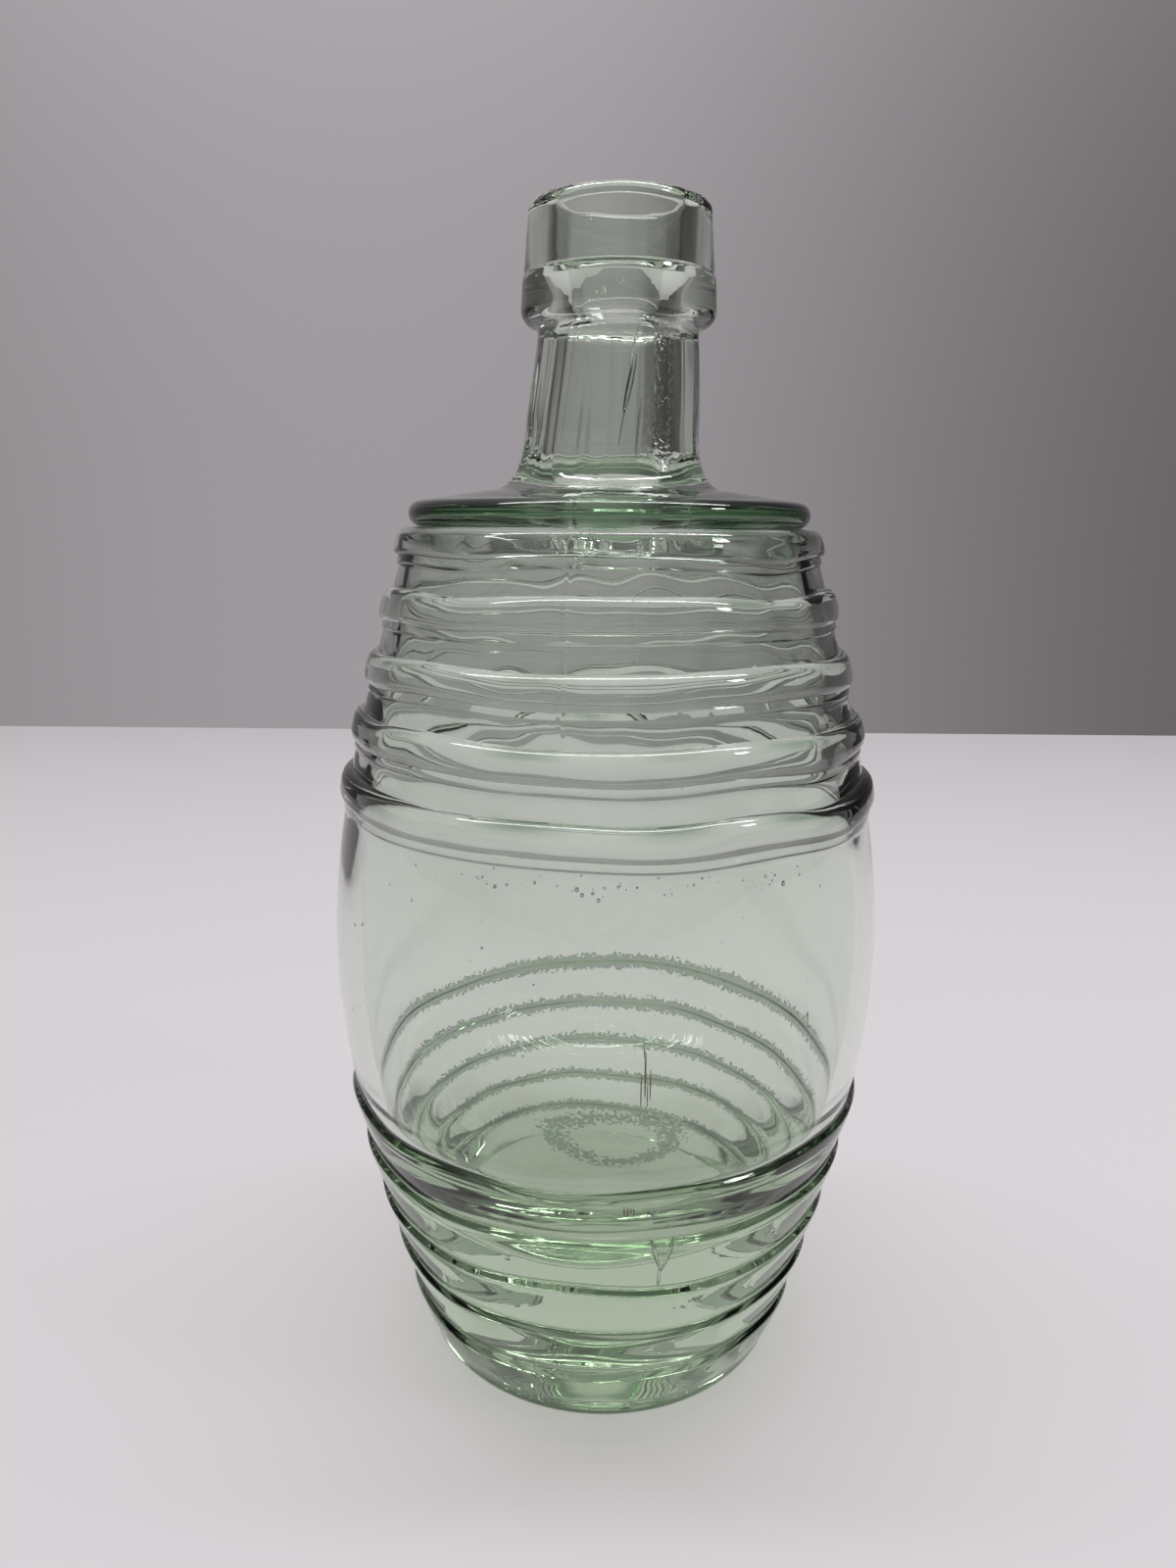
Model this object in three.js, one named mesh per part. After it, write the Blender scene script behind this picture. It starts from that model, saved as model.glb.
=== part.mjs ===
import * as THREE from 'three';

// A barrel-shaped whisky bottle of pale green blown glass, standing on its base.
// Sizes are in millimetres, +Z is up, and heights are measured from the table.
// Three gathers of glass: the blown barrel with its neck, a collar ring wound round
// the end of the neck, and a lip band laid on top of both.

// Barrel outside: a smooth belly that bends into evenly tapering staves.
const bellyRadius = 50;
const bellyHeight = 80.4;
const shoulderHeight = 158.9;
const staveTaper = 0.32;
const bellyBend = 12;

// Hoops moulded round the staves, in equal sets above and below the belly.
const hoopCount = 5;
const firstHoopOffset = 25.6;
const hoopPitch = 10.5;
const hoopWidth = 9.3;
const hoopFootProud = 0.62;
const hoopFootWidth = 0.75;
const hoopBandRise = 0.51;
const beadProud = 0.42;
const beadStart = 5;
const beadCrest = 6.4;

// Underside: a rounded heel, a flat standing ring and a shallow push-up.
const heelRound = 4;
const standingRingWidth = 6;
const pushUpHeight = 1.2;

// Shoulder and neck.
const shoulderEdgeRound = 1.3;
const shoulderRise = 2.6;
const neckFlare = 8.5;
const neckFootRadius = 14.8;
const neckTopRadius = 13.45;
const neckLength = 34.8;

// Thickness of the glass in the barrel.
const bellyWall = 3.7;
const shoulderWall = 5;
const shoulderInnerRound = 7;
const bowlTop = 57;
const baseThickness = 29.5;
const bowlSquareness = 2.6;
const bowlFullness = 0.66;

// Bore of the neck: it narrows to a throat near the top and opens above it like a funnel.
const neckFootWall = 4.8;
const neckTopWall = 5.25;
const throatPinch = 1.2;
const throatFlare = 4;
const funnelOpening = 1.6;
const funnelDepth = 5;

// Collar ring and lip band.
const weldGap = 0.3;
const collarWall = 2.75;
const collarHeight = 7.9;
const collarRound = 2.4;
const lipSetback = 0.5;
const lipTaper = 0.6;
const lipWall = 5.1;
const lipHeight = 11.3;
const lipOuterRound = 2.2;
const lipInnerRound = 2.6;

// Glass.
const glassColour = 0xb9d8c2;
const glassRoughness = 0.05;
const glassOpacity = 0.45;

// Facets round the axis, and points along each curved stretch of an outline.
const facets = 40;
const beadStations = [0.5, 0.87, 1];
const bellySteps = 6;
const curveSteps = 5;
const wallSteps = 16;
const bowlSteps = 10;

const shoulderTop = shoulderHeight + shoulderRise;
const shoulderUnderside = shoulderTop - shoulderWall;
const neckEnd = shoulderTop + neckLength;
const collarFoot = neckEnd - collarHeight;
const collarBore = neckTopRadius + weldGap;
const collarRadius = collarBore + collarWall;
const lipFootRadius = collarRadius - lipSetback;

const outlinePoint = (radius, height) => new THREE.Vector2(radius, height);

// Quarter bend from one point to another, drawn towards the corner between them.
function bend(start, corner, end) {
  return new THREE.QuadraticBezierCurve(start, corner, end).getPoints(curveSteps);
}

// Quarter circle about a centre, starting at the given angle and turning anticlockwise.
function quarterRound(radius, height, size, startAngle) {
  const arc = new THREE.EllipseCurve(radius, height, size, size, startAngle, startAngle + Math.PI / 2);
  return arc.getPoints(curveSteps);
}

// The staves follow a hyperbola: flat at the belly, straight towards both ends.
function staveRadius(height) {
  return bellyRadius + bellyBend - Math.hypot(bellyBend, staveTaper * (height - bellyHeight));
}

// Height of each hoop's foot, on the side of the belly, and the way the hoop runs from it.
const hoops = [];
for (let ring = 0; ring < hoopCount; ring++) {
  const offset = firstHoopOffset + ring * hoopPitch;
  hoops.push({ foot: bellyHeight - offset, way: -1 }, { foot: bellyHeight + offset, way: 1 });
}

// From its foot a hoop is a small step, a flat band that rises a little, and a round bead.
function hoopProud(fromFoot) {
  if (fromFoot <= 0 || fromFoot >= hoopWidth) return 0;
  const step = hoopFootProud * THREE.MathUtils.smoothstep(fromFoot, 0, hoopFootWidth);
  const along = THREE.MathUtils.clamp((fromFoot - hoopFootWidth) / (beadStart - hoopFootWidth), 0, 1);
  const bead = beadProud * THREE.MathUtils.smoothstep(fromFoot, beadStart, beadCrest);
  const fall = Math.max(0, (fromFoot - beadCrest) / (hoopWidth - beadCrest));
  return (step + hoopBandRise * along + bead) * Math.sqrt(1 - fall ** 2);
}

function sideRadius(height) {
  const proud = hoops.map(({ foot, way }) => hoopProud((height - foot) * way));
  return staveRadius(height) + Math.max(...proud);
}

// Side of the barrel between the heel and the edge of the shoulder, from the bottom up.
function barrelSide() {
  const lowest = heelRound;
  const highest = shoulderHeight - shoulderEdgeRound;
  const heights = [];
  const falls = beadStations.map((station) => THREE.MathUtils.lerp(beadCrest, hoopWidth, station));
  const stations = [0, hoopFootWidth, beadStart, beadCrest, ...falls];
  for (const { foot, way } of hoops) {
    for (const station of stations) heights.push(foot + way * station);
  }
  const bellyReach = firstHoopOffset;
  for (let step = 1; step < bellySteps; step++) {
    heights.push(bellyHeight + bellyReach * ((2 * step) / bellySteps - 1));
  }
  const inRange = heights.filter((height) => height > lowest && height < highest);
  const rising = [...new Set(inRange)].sort((a, b) => a - b);
  return rising.map((height) => outlinePoint(sideRadius(height), height));
}

// Underside from the axis out: the push-up's dome, the standing ring and the heel.
function underside() {
  const heelRadius = staveRadius(heelRound);
  const ringOuter = heelRadius - heelRound;
  const ringInner = ringOuter - standingRingWidth;
  const dome = bend(
    outlinePoint(0, pushUpHeight),
    outlinePoint(ringInner / 2, pushUpHeight),
    outlinePoint(ringInner, 0),
  );
  return [...dome, ...quarterRound(ringOuter, heelRound, heelRound, -Math.PI / 2)];
}

// Outside of the shoulder and neck, from the shoulder's edge up to the cut end of the neck.
function shoulderAndNeck() {
  const edgeRadius = staveRadius(shoulderHeight - shoulderEdgeRound);
  const edge = quarterRound(
    edgeRadius - shoulderEdgeRound,
    shoulderHeight - shoulderEdgeRound,
    shoulderEdgeRound,
    0,
  );
  const flare = bend(
    outlinePoint(neckFootRadius + neckFlare, shoulderTop),
    outlinePoint(neckFootRadius, shoulderTop),
    outlinePoint(neckFootRadius, shoulderTop + neckFlare),
  );
  return [
    ...edge,
    ...flare,
    outlinePoint(neckTopRadius, collarFoot),
    outlinePoint(neckTopRadius, neckEnd),
  ];
}

// Bore of the neck, from its cut end down through the throat into the shoulder.
function neckBore() {
  const footBore = neckFootRadius - neckFootWall;
  const topBore = neckTopRadius - neckTopWall;
  const throat = topBore - throatPinch;
  const throatHeight = neckEnd - funnelDepth;
  const flare = bend(
    outlinePoint(footBore, shoulderTop),
    outlinePoint(footBore, shoulderUnderside),
    outlinePoint(footBore + neckFlare, shoulderUnderside),
  );
  return [
    outlinePoint(throat + funnelOpening, neckEnd),
    outlinePoint(throat, throatHeight),
    outlinePoint(topBore, throatHeight - throatFlare),
    ...flare,
  ];
}

// Inside of the barrel, from the shoulder down to the middle of the bowl-shaped bottom.
function barrelInside() {
  const innerRadius = (height) => staveRadius(height) - bellyWall;
  const cornerFoot = shoulderUnderside - shoulderInnerRound;
  const corner = bend(
    outlinePoint(innerRadius(shoulderUnderside) - shoulderInnerRound, shoulderUnderside),
    outlinePoint(innerRadius(shoulderUnderside), shoulderUnderside),
    outlinePoint(innerRadius(cornerFoot), cornerFoot),
  );
  const wall = [];
  for (let step = 1; step < wallSteps; step++) {
    const height = THREE.MathUtils.lerp(cornerFoot, bowlTop, step / wallSteps);
    wall.push(outlinePoint(innerRadius(height), height));
  }
  const bowl = [];
  for (let step = 0; step < bowlSteps; step++) {
    const depth = Math.sin((step / bowlSteps) * (Math.PI / 2));
    const height = THREE.MathUtils.lerp(bowlTop, baseThickness, depth);
    bowl.push(outlinePoint(innerRadius(height) * (1 - depth ** bowlSquareness) ** bowlFullness, height));
  }
  return [...corner, ...wall, ...bowl, outlinePoint(0, baseThickness)];
}

function barrelBodyOutline() {
  return [
    ...underside(),
    ...barrelSide(),
    ...shoulderAndNeck(),
    ...neckBore(),
    ...barrelInside(),
  ];
}

// Ring round the end of the neck, square on top and rounded underneath.
function collarRingOutline() {
  const round = Math.min(collarRound, collarWall);
  return [
    outlinePoint(collarBore, collarFoot),
    ...quarterRound(collarRadius - round, collarFoot + round, round, -Math.PI / 2),
    outlinePoint(lipFootRadius, neckEnd),
    outlinePoint(collarBore, neckEnd),
    outlinePoint(collarBore, collarFoot),
  ];
}

// Band on top of the collar and the neck's end, with a cup-shaped mouth and a rounded rim.
function lipBandOutline() {
  const lipTop = neckEnd + lipHeight;
  const lipTopRadius = lipFootRadius - lipTaper;
  const mouth = lipTopRadius - lipWall;
  return [
    outlinePoint(mouth, neckEnd),
    outlinePoint(lipFootRadius, neckEnd),
    ...quarterRound(lipTopRadius - lipOuterRound, lipTop - lipOuterRound, lipOuterRound, 0),
    ...quarterRound(mouth + lipInnerRound, lipTop - lipInnerRound, lipInnerRound, Math.PI / 2),
    outlinePoint(mouth, neckEnd),
  ];
}

// Turns an outline round the axis and stands it up along +Z.
function turnedGlass(name, outline) {
  const geometry = new THREE.LatheGeometry(outline, facets);
  geometry.rotateX(Math.PI / 2);
  const material = new THREE.MeshStandardMaterial({
    color: glassColour,
    roughness: glassRoughness,
    metalness: 0,
    transparent: true,
    opacity: glassOpacity,
  });
  const mesh = new THREE.Mesh(geometry, material);
  mesh.name = name;
  return mesh;
}

const bottle = new THREE.Group();
bottle.add(turnedGlass('barrel_body', barrelBodyOutline()));
bottle.add(turnedGlass('collar_ring', collarRingOutline()));
bottle.add(turnedGlass('lip_band', lipBandOutline()));

export default bottle;
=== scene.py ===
import math

import bpy
import numpy as np
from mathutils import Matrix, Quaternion, Vector


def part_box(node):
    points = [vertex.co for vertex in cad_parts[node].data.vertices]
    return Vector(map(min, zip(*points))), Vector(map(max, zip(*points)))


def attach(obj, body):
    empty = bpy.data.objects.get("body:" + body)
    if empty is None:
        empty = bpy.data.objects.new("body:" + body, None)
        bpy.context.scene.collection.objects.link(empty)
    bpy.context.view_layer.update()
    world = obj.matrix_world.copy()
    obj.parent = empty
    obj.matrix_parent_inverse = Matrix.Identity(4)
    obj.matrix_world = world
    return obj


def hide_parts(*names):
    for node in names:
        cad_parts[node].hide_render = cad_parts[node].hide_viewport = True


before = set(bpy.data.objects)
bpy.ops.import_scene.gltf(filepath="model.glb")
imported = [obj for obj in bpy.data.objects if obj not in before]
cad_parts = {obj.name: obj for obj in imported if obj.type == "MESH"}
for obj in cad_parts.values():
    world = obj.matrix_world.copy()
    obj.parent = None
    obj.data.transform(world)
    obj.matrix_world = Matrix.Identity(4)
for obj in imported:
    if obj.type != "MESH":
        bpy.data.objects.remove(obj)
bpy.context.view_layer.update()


# Barrel: the blown body of the bottle, pale green glass shaped in a hinged mould. Its staves
# bend round a plain belly, and the mould leaves five round hoops above the belly, five
# ledges below it, a soft heel and a shallow hollow under the base.
mm = 0.001
body_low, body_high = (np.array(corner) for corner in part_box("barrel_body"))
belly_radius = (body_high[0] - body_low[0]) / 2
belly_height = 80.4 * mm
stave_taper = 0.32
belly_bend = 12 * mm
hoop_count = 5
upper_first = 26.2 * mm
upper_pitch = 10.6 * mm
hoop_width = 7.0 * mm
hoop_foot = 0.45 * mm
hoop_foot_width = 0.6 * mm
hoop_top_round = 1.5 * mm
bead_start = 1.7 * mm
bead_proud = 1.15 * mm
bead_squareness = 2.6
lower_first = 25.6 * mm
lower_pitch = 10.5 * mm
ledge_proud = 1.0 * mm
ledge_width = 1.1 * mm
ledge_crest = 1.8 * mm
ledge_run = 10.2 * mm
ledge_fall = 1.3
heel_round = 4 * mm
standing_ring = 6 * mm
push_up = 1.2 * mm
side_high = 155.3 * mm
side_rows = 226
row_pitch = 1.5 * mm
row_turn = math.radians(14)


def stave_radius(height):
    """Hyperbola: belly radius at the belly, tending to a straight taper at both ends."""
    return belly_radius + belly_bend - np.hypot(belly_bend, stave_taper * (height - belly_height))


def smooth_step(value, low, high):
    """0 below low, 1 above high, and a smooth cubic between them."""
    t = np.clip((value - low) / (high - low), 0, 1)
    return t * t * (3 - 2 * t)


hoop_number = np.arange(hoop_count)
upper_feet = belly_height + upper_first + upper_pitch * hoop_number
lower_feet = belly_height - lower_first - lower_pitch * hoop_number


def side_radius(height):
    """Staves with hoops. From its foot on the side of the belly an upper hoop is a small step
    and a round bead, a squared half oval. A lower hoop is a ledge that runs out slowly."""
    rise = height[:, None] - upper_feet
    width = np.minimum(hoop_width, side_high - upper_feet)
    across = np.clip((2 * rise - bead_start - width) / (width - bead_start), -1, 1)
    fall = np.clip((rise - width + hoop_top_round) / hoop_top_round, 0, 1)
    upper = hoop_foot * smooth_step(rise, 0, hoop_foot_width) * np.sqrt(1 - fall**2)
    upper += bead_proud * np.sqrt(1 - np.abs(across) ** bead_squareness)
    drop = lower_feet - height[:, None]
    run = np.clip((drop - ledge_crest) / (ledge_run - ledge_crest), 0, 1)
    lower = ledge_proud * smooth_step(drop, 0, ledge_width) * (1 - run**ledge_fall)
    return stave_radius(height) + upper.sum(axis=1) + lower.sum(axis=1)


def paced_heights(low, high, count, trials=9000):
    """Heights spaced by length and by how much the hooped outline turns between them."""
    fine = np.linspace(low, high, trials)
    lean_angle = np.arctan(np.gradient(side_radius(fine), fine))
    pace = np.gradient(fine) / row_pitch + np.abs(np.gradient(lean_angle)) / row_turn
    walked = np.cumsum(pace)
    return np.interp(np.linspace(walked[0], walked[-1], count), walked, fine)


def arc(radius, height, size, start, end, steps):
    """Points on a circle about (radius, height), from one angle in degrees to another."""
    angle = np.radians(np.linspace(start, end, steps))
    return np.stack([radius + size * np.cos(angle), height + size * np.sin(angle)], axis=1)


def bend(start, corner, end, steps):
    """Quadratic curve from start to end, drawn towards the corner between them."""
    t = np.linspace(0, 1, steps)[:, None]
    return (1 - t) ** 2 * np.array(start) + 2 * t * (1 - t) * np.array(corner) + t**2 * np.array(end)


def line(start, end, steps):
    """Straight run of points from start up to, but not including, end."""
    t = np.linspace(0, 1, steps, endpoint=False)[:, None]
    return np.array(start) * (1 - t) + np.array(end) * t


ring_outer = stave_radius(heel_round) - heel_round
ring_inner = ring_outer - standing_ring
base_outline = bend((0, push_up), (ring_inner / 2, push_up), (ring_inner, 0), steps=16)
heel_outline = arc(ring_outer, heel_round, heel_round, start=-90, end=0, steps=10)
side_heights = paced_heights(heel_round, side_high, side_rows)[1:-1]
side_outline = np.stack([side_radius(side_heights), side_heights], axis=1)


# Shoulder and neck: the rest of the same gather of glass. A round rim ends the barrel, and
# inside it the shoulder is a low cone that sweeps up into a thick, slightly tapered neck.
chime_radius = 35.0 * mm
chime_height = 157.5 * mm
chime_round = 2.2 * mm
shoulder_top = 161.5 * mm
neck_flare = 6.5 * mm
neck_flare_rise = 12.5 * mm
neck_foot_radius = 14.8 * mm
neck_top_radius = 13.45 * mm
neck_end = body_high[2]
chime_centre = chime_radius - chime_round
flare_foot = neck_foot_radius + neck_flare
flare_top = shoulder_top + neck_flare_rise
shoulder_outline = np.concatenate([
    arc(chime_centre, chime_height, chime_round, start=-75, end=84, steps=14),
    line((chime_centre, chime_height + chime_round), (flare_foot, shoulder_top), steps=6)[1:],
    bend((flare_foot, shoulder_top), (neck_foot_radius, shoulder_top),
         (neck_foot_radius, flare_top), steps=16),
])


# Collar ring: a ring of the same green glass, wound hot round the end of the neck and fused
# to it. It is rounded underneath, where it overhangs the neck.
ring_low, ring_high = (np.array(corner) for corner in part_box("collar_ring"))
collar_radius = (ring_high[0] - ring_low[0]) / 2
collar_foot = ring_low[2]
collar_round = 2.4 * mm
collar_bend = collar_foot + collar_round
collar_outline = np.concatenate([
    line((neck_foot_radius, flare_top), (neck_top_radius, collar_foot), steps=8)[1:],
    arc(collar_radius - collar_round, collar_bend, collar_round, start=-100, end=0, steps=10),
])


# Lip band: the last gather of glass, laid on the ring and on the neck's cut end and turned
# with a tool into a cup-shaped mouth with a rounded, fire-polished rim. A fine groove is
# left at the weld.
band_low, band_high = (np.array(corner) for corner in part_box("lip_band"))
lip_foot_radius = (band_high[0] - band_low[0]) / 2
lip_top = band_high[2]
lip_taper = 0.6 * mm
lip_wall = 5.1 * mm
lip_outer_round = 1.8 * mm
lip_inner_round = 2.2 * mm
weld_groove = 0.12 * mm
weld_swell = 0.24 * mm
weld_rise = 0.48 * mm
lip_top_radius = lip_foot_radius - lip_taper
mouth_radius = lip_top_radius - lip_wall
outer_bend = lip_top - lip_outer_round
inner_bend = lip_top - lip_inner_round
lip_outline = np.concatenate([
    line((collar_radius, collar_bend), (lip_foot_radius + weld_swell, neck_end), steps=7)[1:],
    np.array([[lip_foot_radius - weld_groove, neck_end]]),
    line((lip_foot_radius, neck_end + weld_rise), (lip_top_radius, outer_bend), steps=8),
    arc(lip_top_radius - lip_outer_round, outer_bend, lip_outer_round, start=0, end=90, steps=10),
    arc(mouth_radius + lip_inner_round, inner_bend, lip_inner_round, start=90, end=180, steps=7),
])
outside = np.concatenate(
    [base_outline, heel_outline[1:], side_outline, shoulder_outline, collar_outline, lip_outline]
)


# Inside: the air that was blown into the gather. The cup of the mouth ends on the neck's cut
# end, the bore narrows to a throat, and the barrel is a smooth egg over a thick bottom.
shoulder_wall = 5 * mm
neck_foot_wall = 4.8 * mm
neck_top_wall = 5.25 * mm
throat_pinch = 1.2 * mm
throat_flare = 4 * mm
funnel_opening = 1.6 * mm
funnel_depth = 5 * mm
cup_round = 0.8 * mm
bore_round = 1.8 * mm
belly_wall = 3.7 * mm
wall_thinning = 2.0 * mm
thinning_low = 92 * mm
thinning_high = 158 * mm
shoulder_inner_round = 7 * mm
base_thickness = 29.5 * mm
bowl_top = 57 * mm
bowl_squareness = 2.6
bowl_fullness = 0.66
wall_rows = 26
bowl_rows = 40


def inner_radius(height):
    """Inside of the staves: one wall thickness in from their outside, thinning above the belly."""
    thinned = wall_thinning * smooth_step(height, thinning_low, thinning_high)
    return stave_radius(height) - belly_wall + thinned


top_bore = neck_top_radius - neck_top_wall
foot_bore = neck_foot_radius - neck_foot_wall
throat = top_bore - throat_pinch
throat_height = neck_end - funnel_depth
throat_foot = throat_height - throat_flare
underside = shoulder_top - shoulder_wall
bore_foot = underside + bore_round
corner_foot = underside - shoulder_inner_round
corner_radius = inner_radius(underside)
wall_heights = np.linspace(corner_foot, bowl_top, wall_rows)
bowl_depth = np.sin(np.linspace(0, math.pi / 2, bowl_rows))
bowl_heights = bowl_top + (base_thickness - bowl_top) * bowl_depth
bowl_share = np.clip(1 - bowl_depth**bowl_squareness, 0, 1) ** bowl_fullness
bowl_radius = inner_radius(bowl_heights) * bowl_share
inside = np.concatenate([
    line((mouth_radius, inner_bend), (mouth_radius, neck_end + cup_round), steps=8)[1:],
    arc(mouth_radius - cup_round, neck_end + cup_round, cup_round, start=0, end=-90, steps=5),
    bend((throat + funnel_opening, neck_end), (throat, throat_height + funnel_depth / 3),
         (throat, throat_height), steps=8),
    bend((throat, throat_height), (throat, throat_height - throat_flare / 2),
         (top_bore, throat_foot), steps=7)[1:],
    line((top_bore, throat_foot), (foot_bore, bore_foot), steps=14)[1:],
    bend((foot_bore, bore_foot), (foot_bore, underside), (foot_bore + bore_round, underside), steps=10),
    bend((corner_radius - shoulder_inner_round, underside), (corner_radius, underside),
         (inner_radius(corner_foot), corner_foot), steps=16),
    np.stack([inner_radius(wall_heights), wall_heights], axis=1)[1:],
    np.stack([bowl_radius, bowl_heights], axis=1)[1:],
])


# Fused glass: the three gathers were welded hot, so the bottle is one skin of clear glass.
# Hand work shows in it: the neck leans, the walls are wavy, two mould seams run up from the
# belly, and the mould's edges are crumbled. A ring of residue has dried in the bowl.
columns = 214
seam_crowding = 0.47
axis_fade = np.array([2, 8]) * mm
table_fade = np.array([1, 6]) * mm
outside_wave = 0.08 * mm
inside_wave = 0.09 * mm
inside_pucker = 0.03 * mm
pucker_base = 0.4
pucker_gain = 2.8
pucker_stops = np.array([98, 112, 148, 160]) * mm
seam_angle = math.radians(-100)
seam_proud = 0.08 * mm
seam_width = 0.45 * mm
seam_stops = (104 * mm, 130 * mm, shoulder_top, shoulder_top + neck_flare)
neck_draw = 0.09 * mm
collar_calm = 0.8
collar_calm_rise = 3 * mm
hoop_sway = 0.26 * mm
sway_stops = (4 * mm, 14 * mm, 153.5 * mm, side_high)
neck_lean = 1.2 * mm
random = np.random.default_rng(7)


def ripple(angle, height, count, most_turns, shortest):
    """Sum of cosine waves with whole turns round the axis and random heights and phases,
    scaled to a spread of about one."""
    turns = random.integers(0, most_turns + 1, count)
    rise = random.uniform(-1, 1, count) * 2 * math.pi / shortest
    phase = random.uniform(0, 2 * math.pi, count)
    waves = np.cos(angle[..., None] * turns + height[..., None] * rise + phase)
    return waves.sum(axis=-1) * math.sqrt(2 / count)


def band(value, stops):
    """0 up to the first stop, 1 from the second to the third, 0 from the fourth, smooth between."""
    start, full, fade, end = stops
    return smooth_step(value, start, full) * (1 - smooth_step(value, fade, end))


def near(value, centres, reach):
    """1 at each of the centres, falling off as a bell of the given reach."""
    return np.exp(-((value[..., None] - centres) / reach) ** 2).max(axis=-1)


def turned_grid(outline, columns):
    """Radius, height and angle of an outline turned round the axis, one row per point. The
    columns crowd together at the two seams, half a turn apart."""
    even = np.linspace(0, 2 * math.pi, columns, endpoint=False)
    angle = seam_angle + even - seam_crowding * np.sin(2 * even)
    radius = np.repeat(outline[:, :1], columns, axis=1)
    height = np.repeat(outline[:, 1:], columns, axis=1)
    return radius, height, np.broadcast_to(angle, radius.shape)


def turned_faces(rows, columns):
    """Quads between neighbouring rows, with the last column joined to the first."""
    row, column = np.meshgrid(np.arange(rows - 1), np.arange(columns), indexing="ij")
    following = (column + 1) % columns
    corners = [row * columns + column, row * columns + following,
               (row + 1) * columns + following, (row + 1) * columns + column]
    return np.stack(corners, axis=-1).reshape(-1, 4)


def capped_mesh(name, points, columns):
    """Closed mesh of a turned grid whose first and last rows are shrunk to one point each."""
    rows = len(points) - 2
    first, last = rows * columns, rows * columns + 1
    vertices = np.concatenate([points[1:-1].reshape(-1, 3), points[:1, 0], points[-1:, 0]])
    column = np.arange(columns)
    following = (column + 1) % columns
    top = (rows - 1) * columns
    start_fan = np.stack([np.full(columns, first), following, column], axis=1)
    end_fan = np.stack([np.full(columns, last), top + column, top + following], axis=1)
    faces = turned_faces(rows, columns).tolist() + start_fan.tolist() + end_fan.tolist()
    mesh = bpy.data.meshes.new(name)
    mesh.from_pydata(vertices.tolist(), [], faces)
    mesh.polygons.foreach_set("use_smooth", np.ones(len(faces), dtype=bool))
    mesh.update()
    return mesh


def painted(mesh, name, values):
    """Keeps one number for each point of the turned grid as a named attribute of the mesh."""
    kept = np.append(values[1:-1].ravel(), values[[0, -1], 0])
    layer = mesh.attributes.new(name, "FLOAT", "POINT")
    layer.data.foreach_set("value", kept.astype(np.float32))


outline = np.concatenate([outside, inside])
radius, height, angle = turned_grid(outline, columns)
is_inside = np.zeros_like(radius)
is_inside[len(outside):] = 1
off_axis = smooth_step(radius, *axis_fade)
off_table = smooth_step(height, *table_fade)
outside_shift = outside_wave * ripple(angle, height, count=16, most_turns=6, shortest=60 * mm) * off_table
inside_shift = inside_wave * ripple(angle, height, count=24, most_turns=4, shortest=55 * mm)
pucker = inside_pucker * (pucker_base + pucker_gain * band(height, pucker_stops))
inside_shift += pucker * ripple(angle, height, count=40, most_turns=24, shortest=11 * mm)
radius = radius + np.where(is_inside > 0, inside_shift, outside_shift) * off_axis
seam_gap = np.abs(np.sin(angle - seam_angle)) * radius
seam = np.exp(-((seam_gap / seam_width) ** 2)) * band(height, seam_stops) * (1 - is_inside)
radius = radius + seam_proud * seam * off_axis
on_neck = smooth_step(height, shoulder_top, shoulder_top + neck_flare)
on_neck = on_neck * (1 - collar_calm * smooth_step(height, collar_foot - collar_calm_rise, collar_foot))
neck_shift = neck_draw * ripple(angle, height, count=40, most_turns=26, shortest=70 * mm)
radius = radius + neck_shift * on_neck * off_axis
sway = hoop_sway * ripple(angle, height, count=22, most_turns=11, shortest=30 * mm)
swayed_height = height + sway * band(height, sway_stops) * (1 - is_inside)
lean = neck_lean * smooth_step(swayed_height, shoulder_top, collar_foot)
points = np.stack([radius * np.cos(angle) + lean, radius * np.sin(angle), swayed_height], axis=-1)
points[0, :, :2] = 0
points[-1, :, :2] = 0
glass_mesh = capped_mesh("bottle_glass", points, columns)

# Crumbs: at the ledges' edges, mostly on the far half, and in the ring of residue. At the ledges they
# raise bumps of crumbled glass, and the dark grey-green painted on them is painted shade.
backward = np.sin(angle)
lower_edges = lower_feet - ledge_width / 2
upper_edges = upper_feet + hoop_foot_width / 2
crumb_share = 0.98
crumb_reach = 2.5 * mm
crumb_front_share = 0.12
crumb_turn = (-0.75, 0.0)
dried_share = 0.74
dried_centre = np.array([2.4, 8.6]) * mm
dried_half = np.array([15.5, 7.4]) * mm
dried_ring_at = 0.8
dried_ring_reach = 0.36
dried_top = np.array([40, 44]) * mm
behind = crumb_front_share + (1 - crumb_front_share) * smooth_step(backward, *crumb_turn)
mould_edge = crumb_share * near(height, lower_edges, crumb_reach) * behind
dried_place = (points[..., :2] - dried_centre) / dried_half
dried_ring = near(np.hypot(dried_place[..., 0], dried_place[..., 1]), [dried_ring_at], dried_ring_reach)
dried_ring = dried_ring * (1 - smooth_step(height, *dried_top))
painted(glass_mesh, "mould_edge", np.where(is_inside > 0, dried_share * dried_ring, mould_edge))
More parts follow.
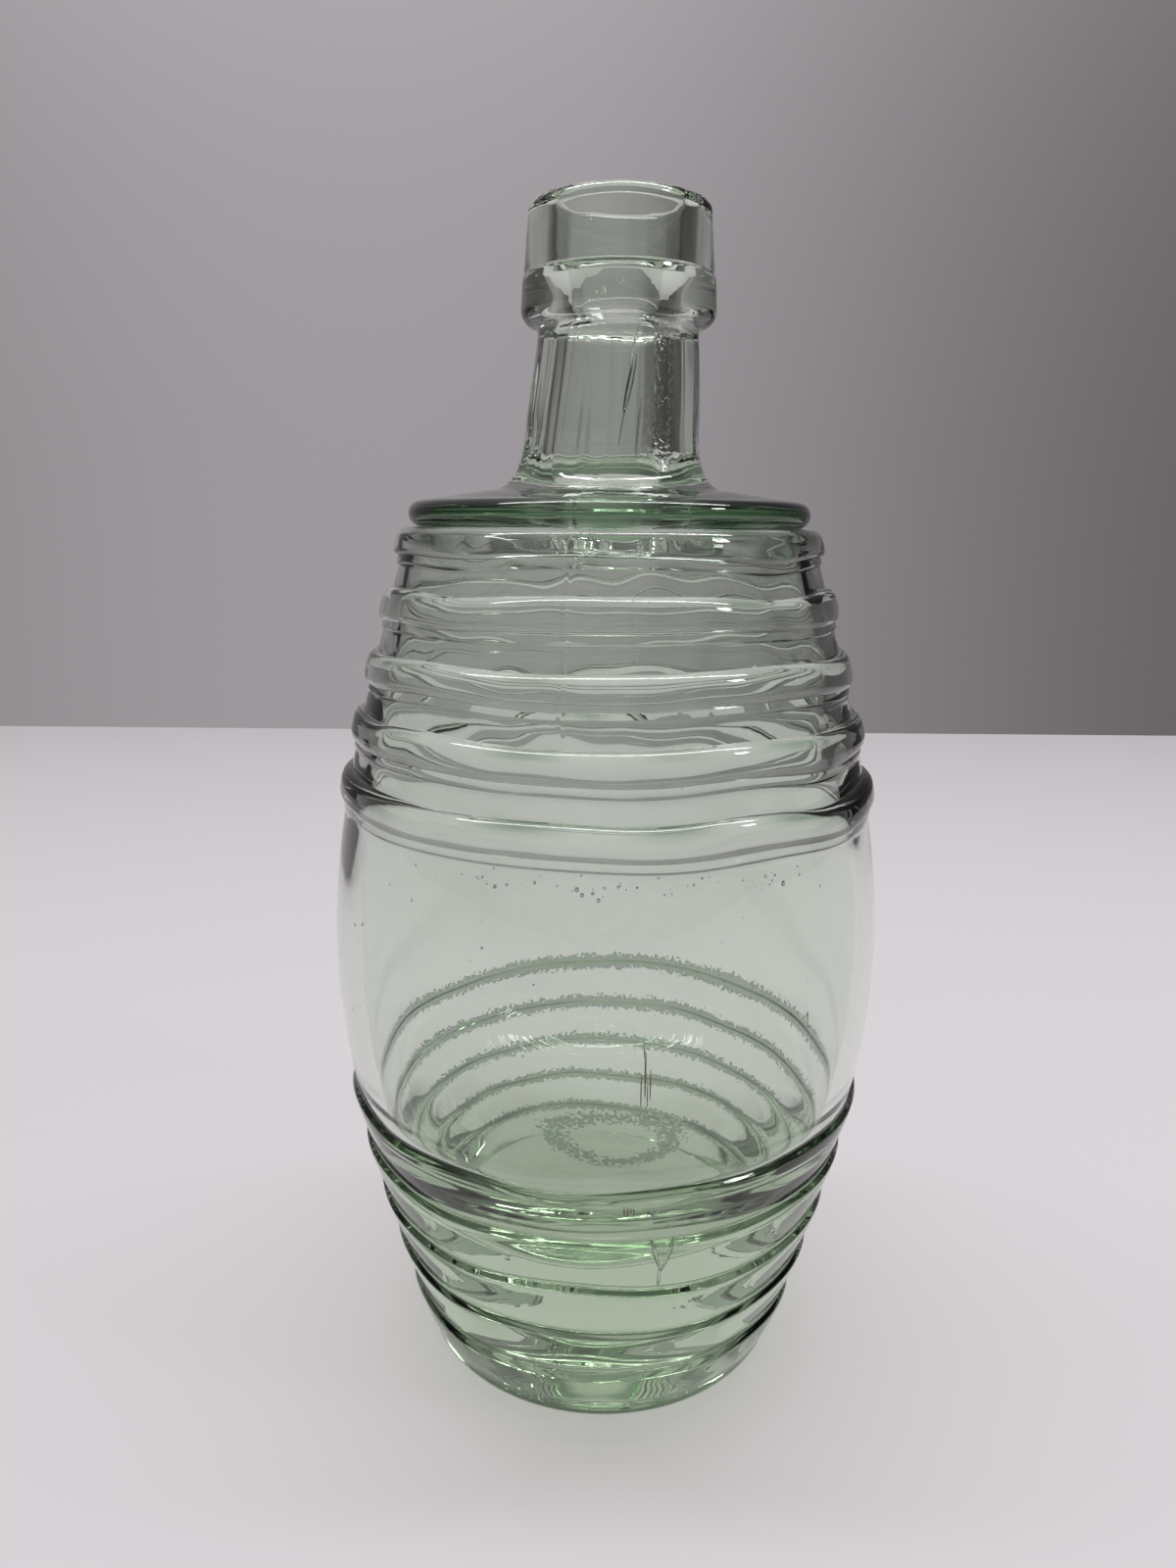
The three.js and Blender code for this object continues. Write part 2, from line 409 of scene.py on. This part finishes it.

# Painted shade: deep green painted on the round rim, on the front of the heel, and in lines and patches
# along the hoops, where the thick rim and heel and the curved hoop edges look dark.
chime_stops = (155 * mm, 156.5 * mm, 159.8 * mm, shoulder_top)
heel_share = 0.9
heel_stops = np.array([0.2, 1.2, 2.5, 5]) * mm
heel_reach = np.array([25, 30]) * mm
heel_turn = (-0.6, 0.2)
heel_fade = 0.8
ledge_line_share = 0.5
ledge_line_reach = 0.5 * mm
ledge_line_turn = (-0.5, 0.1)
hoop_line_share = 0.2
hoop_line_reach = 0.4 * mm
crest_reach = 0.7 * mm
crest_mean = 0.45
crest_spread = 0.35
crest_least = 0.1
crest_most = 0.95
heel = band(height, heel_stops) * smooth_step(outline[:, :1], *heel_reach)
heel = heel * (1 - heel_fade * smooth_step(backward, *heel_turn))
ledge_lines = near(height, lower_edges, ledge_line_reach) * (1 - smooth_step(backward, *ledge_line_turn))
hoop_lines = near(height, upper_edges, hoop_line_reach)
crests = near(height, upper_feet + hoop_width - hoop_top_round / 2, crest_reach)
patches = crest_mean + crest_spread * ripple(angle, height, count=12, most_turns=14, shortest=60 * mm)
crests = crests * np.clip(patches, crest_least, crest_most)
painted_edge_shade = band(height, chime_stops) + heel_share * heel + crests
painted_edge_shade += ledge_line_share * ledge_lines + hoop_line_share * hoop_lines
painted(glass_mesh, "painted_edge_shade", np.clip(painted_edge_shade, 0, 1) * (1 - is_inside))

# Neck wrinkles: a strip down the right of the neck, where the hot glass puckered.
wrinkle_angle = -60
wrinkle_spread = 7
wrinkle_stops = np.array([163, 168, 186, 190]) * mm
wrinkle_turn = (np.degrees(angle) - wrinkle_angle + 180) % 360 - 180
wrinkled = near(wrinkle_turn, [0], wrinkle_spread) * band(height, wrinkle_stops)
painted(glass_mesh, "neck_wrinkles", wrinkled * (1 - is_inside))

bottle_glass = bpy.data.objects.new("bottle_glass", glass_mesh)
bpy.context.collection.objects.link(bottle_glass)

glass_ior = 1.52
glass_tint = (0.66, 0.80, 0.61, 1)
glass_density = 16.0
glass_colour = (0.885, 0.925, 0.878, 1)
# painted shade laid on the rim, the heel and the hoop lines
edge_shade_colour = (0.14, 0.27, 0.15, 1)
# painted shade laid on the crumbs
crumb_shade_colour = (0.19, 0.26, 0.19, 1)
crumb_grain = 0.8 * mm
crumb_detail = 3.0
crumb_noise_gain = 1.3
crumb_start = 1.2
crumb_full = 1.34
crumb_depth = 0.10 * mm
wrinkle_grain = 0.9 * mm
wrinkle_detail = 1.5
wrinkle_depth = 0.4 * mm
shade_colour = (0.925, 0.92, 0.92, 1)
glass = bpy.data.materials.new("pale_green_glass")
glass.use_nodes = True
nodes, links = glass.node_tree.nodes, glass.node_tree.links
shader = nodes["Principled BSDF"]
shader.inputs["Roughness"].default_value = 0.0
shader.inputs["IOR"].default_value = glass_ior
shader.inputs["Transmission Weight"].default_value = 1.0
absorption = nodes.new("ShaderNodeVolumeAbsorption")
absorption.inputs["Color"].default_value = glass_tint
absorption.inputs["Density"].default_value = glass_density
links.new(absorption.outputs["Volume"], nodes["Material Output"].inputs["Volume"])
place = nodes.new("ShaderNodeTexCoord")
crumb_noise = nodes.new("ShaderNodeTexNoise")
crumb_noise.inputs["Scale"].default_value = 1 / crumb_grain
crumb_noise.inputs["Detail"].default_value = crumb_detail
links.new(place.outputs["Object"], crumb_noise.inputs["Vector"])
edge_share = nodes.new("ShaderNodeAttribute")
edge_share.attribute_name = "mould_edge"
crumb_sum = nodes.new("ShaderNodeMath")
crumb_sum.operation = "MULTIPLY_ADD"
crumb_sum.inputs[1].default_value = crumb_noise_gain
links.new(crumb_noise.outputs["Fac"], crumb_sum.inputs[0])
links.new(edge_share.outputs["Fac"], crumb_sum.inputs[2])
crumbs = nodes.new("ShaderNodeMapRange")
crumbs.interpolation_type = "SMOOTHSTEP"
crumbs.inputs["From Min"].default_value = crumb_start
crumbs.inputs["From Max"].default_value = crumb_full
links.new(crumb_sum.outputs["Value"], crumbs.inputs["Value"])
crumb_bump = nodes.new("ShaderNodeBump")
crumb_bump.inputs["Strength"].default_value = 1.0
crumb_bump.inputs["Distance"].default_value = crumb_depth
links.new(crumbs.outputs["Result"], crumb_bump.inputs["Height"])
wrinkle_noise = nodes.new("ShaderNodeTexNoise")
wrinkle_noise.inputs["Scale"].default_value = 1 / wrinkle_grain
wrinkle_noise.inputs["Detail"].default_value = wrinkle_detail
links.new(place.outputs["Object"], wrinkle_noise.inputs["Vector"])
wrinkle_share = nodes.new("ShaderNodeAttribute")
wrinkle_share.attribute_name = "neck_wrinkles"
wrinkles = nodes.new("ShaderNodeMath")
wrinkles.operation = "MULTIPLY"
links.new(wrinkle_noise.outputs["Fac"], wrinkles.inputs[0])
links.new(wrinkle_share.outputs["Fac"], wrinkles.inputs[1])
wrinkle_bump = nodes.new("ShaderNodeBump")
wrinkle_bump.inputs["Strength"].default_value = 1.0
wrinkle_bump.inputs["Distance"].default_value = wrinkle_depth
links.new(wrinkles.outputs["Value"], wrinkle_bump.inputs["Height"])
links.new(crumb_bump.outputs["Normal"], wrinkle_bump.inputs["Normal"])
links.new(wrinkle_bump.outputs["Normal"], shader.inputs["Normal"])
# Painted shade: the glass colour is mixed towards deep green on the rim, the heel and the hoop lines.
edge_shade_share = nodes.new("ShaderNodeAttribute")
edge_shade_share.attribute_name = "painted_edge_shade"
edge_shaded = nodes.new("ShaderNodeMix")
edge_shaded.data_type = "RGBA"
edge_shaded.inputs["A"].default_value = glass_colour
edge_shaded.inputs["B"].default_value = edge_shade_colour
links.new(edge_shade_share.outputs["Fac"], edge_shaded.inputs["Factor"])
# Painted shade: where the crumbs lie, the colour is mixed towards a dark grey-green.
crumb_shaded = nodes.new("ShaderNodeMix")
crumb_shaded.data_type = "RGBA"
crumb_shaded.inputs["B"].default_value = crumb_shade_colour
links.new(edge_shaded.outputs["Result"], crumb_shaded.inputs["A"])
links.new(crumbs.outputs["Result"], crumb_shaded.inputs["Factor"])
links.new(crumb_shaded.outputs["Result"], shader.inputs["Base Color"])

# Light from the lamps and the table passes straight through each wall, a little dimmed.
shade = nodes.new("ShaderNodeBsdfTransparent")
shade.inputs["Color"].default_value = shade_colour
light_path = nodes.new("ShaderNodeLightPath")
soft_light = nodes.new("ShaderNodeMath")
soft_light.operation = "MAXIMUM"
links.new(light_path.outputs["Is Shadow Ray"], soft_light.inputs[0])
links.new(light_path.outputs["Is Diffuse Ray"], soft_light.inputs[1])
let_lamps = nodes.new("ShaderNodeMixShader")
links.new(soft_light.outputs["Value"], let_lamps.inputs["Fac"])
links.new(shader.outputs["BSDF"], let_lamps.inputs[1])
links.new(shade.outputs["BSDF"], let_lamps.inputs[2])
links.new(let_lamps.outputs["Shader"], nodes["Material Output"].inputs["Surface"])
glass_mesh.materials.append(glass)
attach(bottle_glass, "root")
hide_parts("barrel_body", "collar_ring", "lip_band")


# Seeds: air bubbles caught in the glass while it was hot. Most are small, in a drift under
# the lowest upper hoop and scattered over the belly. A few are drawn out long in the neck,
# and four blisters lie close under the outside.
seed_count = 120
drift_count = 60
drift_angle = math.radians(-84)
drift_angle_spread = math.radians(24)
drift_height = 104.2 * mm
drift_height_spread = 1.1 * mm
scatter_low = 60 * mm
scatter_high = 103 * mm
seed_size = 0.12 * mm
seed_size_spread = 0.45
seed_shape = np.array([1.0, 0.8, 1.15])
seed_depth_low = 0.3
seed_depth_high = 0.7
neck_seed_angle = np.radians([-81, -78, -86, -74])
neck_seed_height = np.array([178, 184, 172, 171]) * mm
neck_seed_reach = np.array([12.6, 12.2, 12.8, 12.0]) * mm
neck_seed_half = np.array([[0.5, 0.3, 4.6], [0.16, 0.15, 3.4], [0.14, 0.12, 4.0], [0.18, 0.15, 5.0]]) * mm
neck_seed_slope = np.array([0.2, 0.24, 0.16, 0.1])
neck_seed_lean = 0.6 * neck_lean
blister_angle = np.radians([-79.4, -76.8, -78.2, -50.4])
blister_height = np.array([41.0, 41.0, 36.5, 79.8]) * mm
blister_half = np.array([[0.35, 0.25, 3.4], [0.35, 0.25, 3.2], [0.3, 0.25, 2.8], [0.28, 0.2, 1.5]]) * mm
blister_slope = np.array([-0.3, 0.3, 0.0, -0.15])
blister_depth = 0.86
seed_rings = 7
seed_sides = 10


def ellipsoids(name, centres, half_axes, slope):
    """One mesh of closed ellipsoids: unit balls scaled by their half axes (across, outwards and
    up), leaned sideways by a slope, turned to face the axis and moved to their centres."""
    tilt = np.linspace(0, math.pi, seed_rings)[1:-1]
    turn = np.linspace(0, 2 * math.pi, seed_sides, endpoint=False)
    ring = np.stack([np.outer(np.sin(tilt), np.cos(turn)), np.outer(np.sin(tilt), np.sin(turn)),
                     np.outer(np.cos(tilt), np.ones(seed_sides))], axis=-1).reshape(-1, 3)
    ball = np.concatenate([ring, [[0, 0, 1], [0, 0, -1]]])
    shaped = ball * half_axes[:, None, :]
    shaped[..., 0] += shaped[..., 2] * slope[:, None]
    facing = np.arctan2(centres[:, 1], centres[:, 0])[:, None]
    across, outwards = shaped[..., 0], shaped[..., 1]
    vertices = np.stack([outwards * np.cos(facing) - across * np.sin(facing),
                         outwards * np.sin(facing) + across * np.cos(facing), shaped[..., 2]], axis=-1)
    vertices = (vertices + centres[:, None, :]).reshape(-1, 3)
    side = np.arange(seed_sides)
    following = (side + 1) % seed_sides
    last = (seed_rings - 3) * seed_sides
    top, bottom = len(ring), len(ring) + 1
    quads = turned_faces(seed_rings - 2, seed_sides)[:, ::-1]
    fans = np.concatenate([np.stack([np.full(seed_sides, top), side, following], axis=1),
                           np.stack([np.full(seed_sides, bottom), last + following, last + side], axis=1)])
    starts = np.arange(len(centres))[:, None, None] * len(ball)
    faces = (quads + starts).reshape(-1, 4).tolist() + (fans + starts).reshape(-1, 3).tolist()
    mesh = bpy.data.meshes.new(name)
    mesh.from_pydata(vertices.tolist(), [], faces)
    mesh.polygons.foreach_set("use_smooth", np.ones(len(faces), dtype=bool))
    return mesh


def wall_place(angle, height, depth):
    """Points in the wall: depth 0 on its inside, 1 on its outside."""
    spot = inner_radius(height) + depth * belly_wall
    return np.stack([spot * np.cos(angle), spot * np.sin(angle), height], axis=-1)


scatter_count = seed_count - drift_count
seed_angle = np.concatenate([
    random.normal(drift_angle, drift_angle_spread, drift_count),
    random.uniform(0, 2 * math.pi, scatter_count),
])
seed_height = np.concatenate([
    random.normal(drift_height, drift_height_spread, drift_count),
    random.uniform(scatter_low, scatter_high, scatter_count),
])
seed_radius = seed_size * np.exp(random.normal(0, seed_size_spread, seed_count))
seed_half = seed_radius[:, None] * seed_shape
seed_depth = random.uniform(seed_depth_low, seed_depth_high, seed_count)
seeds = wall_place(seed_angle, seed_height, seed_depth)
neck_seeds = np.stack([neck_seed_reach * np.cos(neck_seed_angle) + neck_seed_lean,
                       neck_seed_reach * np.sin(neck_seed_angle), neck_seed_height], axis=-1)
blisters = wall_place(blister_angle, blister_height, blister_depth)
seed_mesh = ellipsoids(
    "seed_bubbles",
    np.concatenate([seeds, neck_seeds, blisters]),
    np.concatenate([seed_half, neck_seed_half, blister_half]),
    np.concatenate([np.zeros(seed_count), neck_seed_slope, blister_slope]),
)
air = bpy.data.materials.new("caught_air")
air.use_nodes = True
air_shader = air.node_tree.nodes["Principled BSDF"]
air_shader.inputs["Base Color"].default_value = glass_colour
air_shader.inputs["Roughness"].default_value = 0.0
air_shader.inputs["IOR"].default_value = 1 / glass_ior
air_shader.inputs["Transmission Weight"].default_value = 1.0
seed_mesh.materials.append(air)
seed_bubbles = bpy.data.objects.new("seed_bubbles", seed_mesh)
bpy.context.collection.objects.link(seed_bubbles)
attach(seed_bubbles, "root")


# Dried streaks: thin brown runs of old liquid. Five have dried on the inside of the front
# wall, and four short ones show below the edge of the first lower hoop.
streak_colour = (0.16, 0.10, 0.06, 1)
streak_roughness = 0.8
streak_thickness = 0.05 * mm
streak_angle = np.radians([-83.9, -83.2, -82.7, -82.2, -83.5, -86.6, -85.9, -85.3, -84.7])
streak_height = np.array([72.0, 75.0, 71.5, 73.0, 79.0, 51.2, 51.0, 51.3, 51.0]) * mm
streak_length = np.array([3.0, 4.2, 2.4, 2.8, 1.6, 0.8, 1.0, 0.7, 0.8]) * mm
streak_width = np.array([0.10, 0.14, 0.09, 0.10, 0.08, 0.13, 0.15, 0.12, 0.12]) * mm
streak_depth = np.array([0.0, 0.0, 0.0, 0.0, 0.0, 0.95, 0.95, 0.95, 0.95])
streak_mesh = ellipsoids(
    "dried_streaks",
    wall_place(streak_angle, streak_height, streak_depth),
    np.stack([streak_width, np.full(len(streak_width), streak_thickness), streak_length], axis=1),
    np.zeros(len(streak_angle)),
)
dried = bpy.data.materials.new("dried_streak")
dried.use_nodes = True
dried_shader = dried.node_tree.nodes["Principled BSDF"]
dried_shader.inputs["Base Color"].default_value = streak_colour
dried_shader.inputs["Roughness"].default_value = streak_roughness
streak_mesh.materials.append(dried)
dried_streaks = bpy.data.objects.new("dried_streaks", streak_mesh)
bpy.context.collection.objects.link(dried_streaks)
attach(dried_streaks, "root")


# Table: a plain pale top with a dull finish, on which the bottle stands. Its back edge ends
# where the plain grey of the room begins.
table_half_width = 1.4
table_front = -0.9
table_back = 0.652
table_colour = (0.665, 0.645, 0.66, 1)
table_roughness = 0.9
table_points = [
    (-table_half_width, table_front, 0), (table_half_width, table_front, 0),
    (table_half_width, table_back, 0), (-table_half_width, table_back, 0),
]
table_mesh = bpy.data.meshes.new("table")
table_mesh.from_pydata(table_points, [], [(0, 1, 2, 3)])
table = bpy.data.objects.new("table", table_mesh)
bpy.context.collection.objects.link(table)
table_top = bpy.data.materials.new("table_top")
table_top.use_nodes = True
table_shader = table_top.node_tree.nodes["Principled BSDF"]
table_shader.inputs["Base Color"].default_value = table_colour
table_shader.inputs["Roughness"].default_value = table_roughness
table_mesh.materials.append(table_top)


# Room: a plain grey surround that lights the bottle softly. It grows lighter with height,
# is brightest before and behind the bottle a little to the left, and darkens to both sides.
height_tones = [(0.0, 0.34), (0.12, 0.34), (0.35, 0.38), (0.6, 0.55), (1.0, 0.8)]
height_hue = (1, 0.935, 0.98)
side_tones = [
    (0.0, 0.1), (0.1, 0.32), (0.3, 1.05), (0.5, 1.0), (0.64, 0.6), (0.78, 0.3), (0.9, 0.24), (1.0, 0.1),
]
side_hue = (1, 1, 1)
world = bpy.data.worlds.new("room")
world.use_nodes = True
room_nodes, room_links = world.node_tree.nodes, world.node_tree.links
direction = room_nodes.new("ShaderNodeTexCoord")
compass = room_nodes.new("ShaderNodeSeparateXYZ")
room_links.new(direction.outputs["Generated"], compass.inputs["Vector"])


def tone_ramp(tones, hue):
    """Smooth colour ramp through (place, tone) pairs of one hue."""
    node = room_nodes.new("ShaderNodeValToRGB")
    node.color_ramp.interpolation = "B_SPLINE"
    while len(node.color_ramp.elements) < len(tones):
        node.color_ramp.elements.new(0.5)
    for element, (place, tone) in zip(node.color_ramp.elements, tones):
        element.position = place
        element.color = (tone * hue[0], tone * hue[1], tone * hue[2], 1)
    return node


height_tone = tone_ramp(height_tones, height_hue)
room_links.new(compass.outputs["Z"], height_tone.inputs["Fac"])
sideways = room_nodes.new("ShaderNodeMapRange")
sideways.inputs["From Min"].default_value = -1
room_links.new(compass.outputs["X"], sideways.inputs["Value"])
side_tone = tone_ramp(side_tones, side_hue)
room_links.new(sideways.outputs["Result"], side_tone.inputs["Fac"])
room_tone = room_nodes.new("ShaderNodeMix")
room_tone.data_type = "RGBA"
room_tone.blend_type = "MULTIPLY"
room_tone.inputs["Factor"].default_value = 1.0
room_links.new(height_tone.outputs["Color"], room_tone.inputs["A"])
room_links.new(side_tone.outputs["Color"], room_tone.inputs["B"])
room_links.new(room_tone.outputs["Result"], room_nodes["Background"].inputs["Color"])
bpy.context.scene.world = world


# Lamps: a long strip lamp overhead, whose light lies along the tops of the hoops, and a small
# weak lamp at the front right. Both are turned to the bottle.
lamp_aim = (0, 0, 0.1)


def area_lamp(name, place, width, depth, power):
    """Rectangular area lamp at a place, turned towards the bottle."""
    lamp = bpy.data.lights.new(name, "AREA")
    lamp.shape = "RECTANGLE"
    lamp.size = width
    lamp.size_y = depth
    lamp.energy = power
    holder = bpy.data.objects.new(name, lamp)
    holder.location = place
    holder.rotation_mode = "QUATERNION"
    holder.rotation_quaternion = (Vector(lamp_aim) - Vector(place)).to_track_quat("-Z", "Y")
    bpy.context.collection.objects.link(holder)


area_lamp("ceiling_strip", (0.0, 0.05, 1.15), width=1.6, depth=0.12, power=10.0)
area_lamp("side_lamp", (0.75, -0.35, 0.75), width=0.12, depth=0.12, power=1.2)


# Camera: the photo's low, close viewpoint, a little left of the bottle's axis. Its lens and
# tilt follow from a focal length and a horizon that are measured in the photo's pixels.
photo_height = 1600
focal_pixels = 1132
horizon_row = 537
camera_place = (-3.4 * mm, -201 * mm, 155.6 * mm)
camera_roll = 0.0083
sensor_width = 36
nearest_seen = 10 * mm
pitch = math.atan((photo_height / 2 - horizon_row) / focal_pixels)
camera_data = bpy.data.cameras.new("photo_camera")
camera_data.sensor_width = sensor_width
camera_data.lens = focal_pixels * sensor_width / photo_height
camera_data.clip_start = nearest_seen
camera = bpy.data.objects.new("photo_camera", camera_data)
camera.location = camera_place
camera.rotation_mode = "QUATERNION"
gaze = Vector((0, math.cos(pitch), -math.sin(pitch)))
camera.rotation_quaternion = gaze.to_track_quat("-Z", "Y") @ Quaternion((0, 0, 1), camera_roll)
bpy.context.collection.objects.link(camera)
bpy.context.scene.camera = camera
bpy.context.scene.view_settings.view_transform = "Standard"
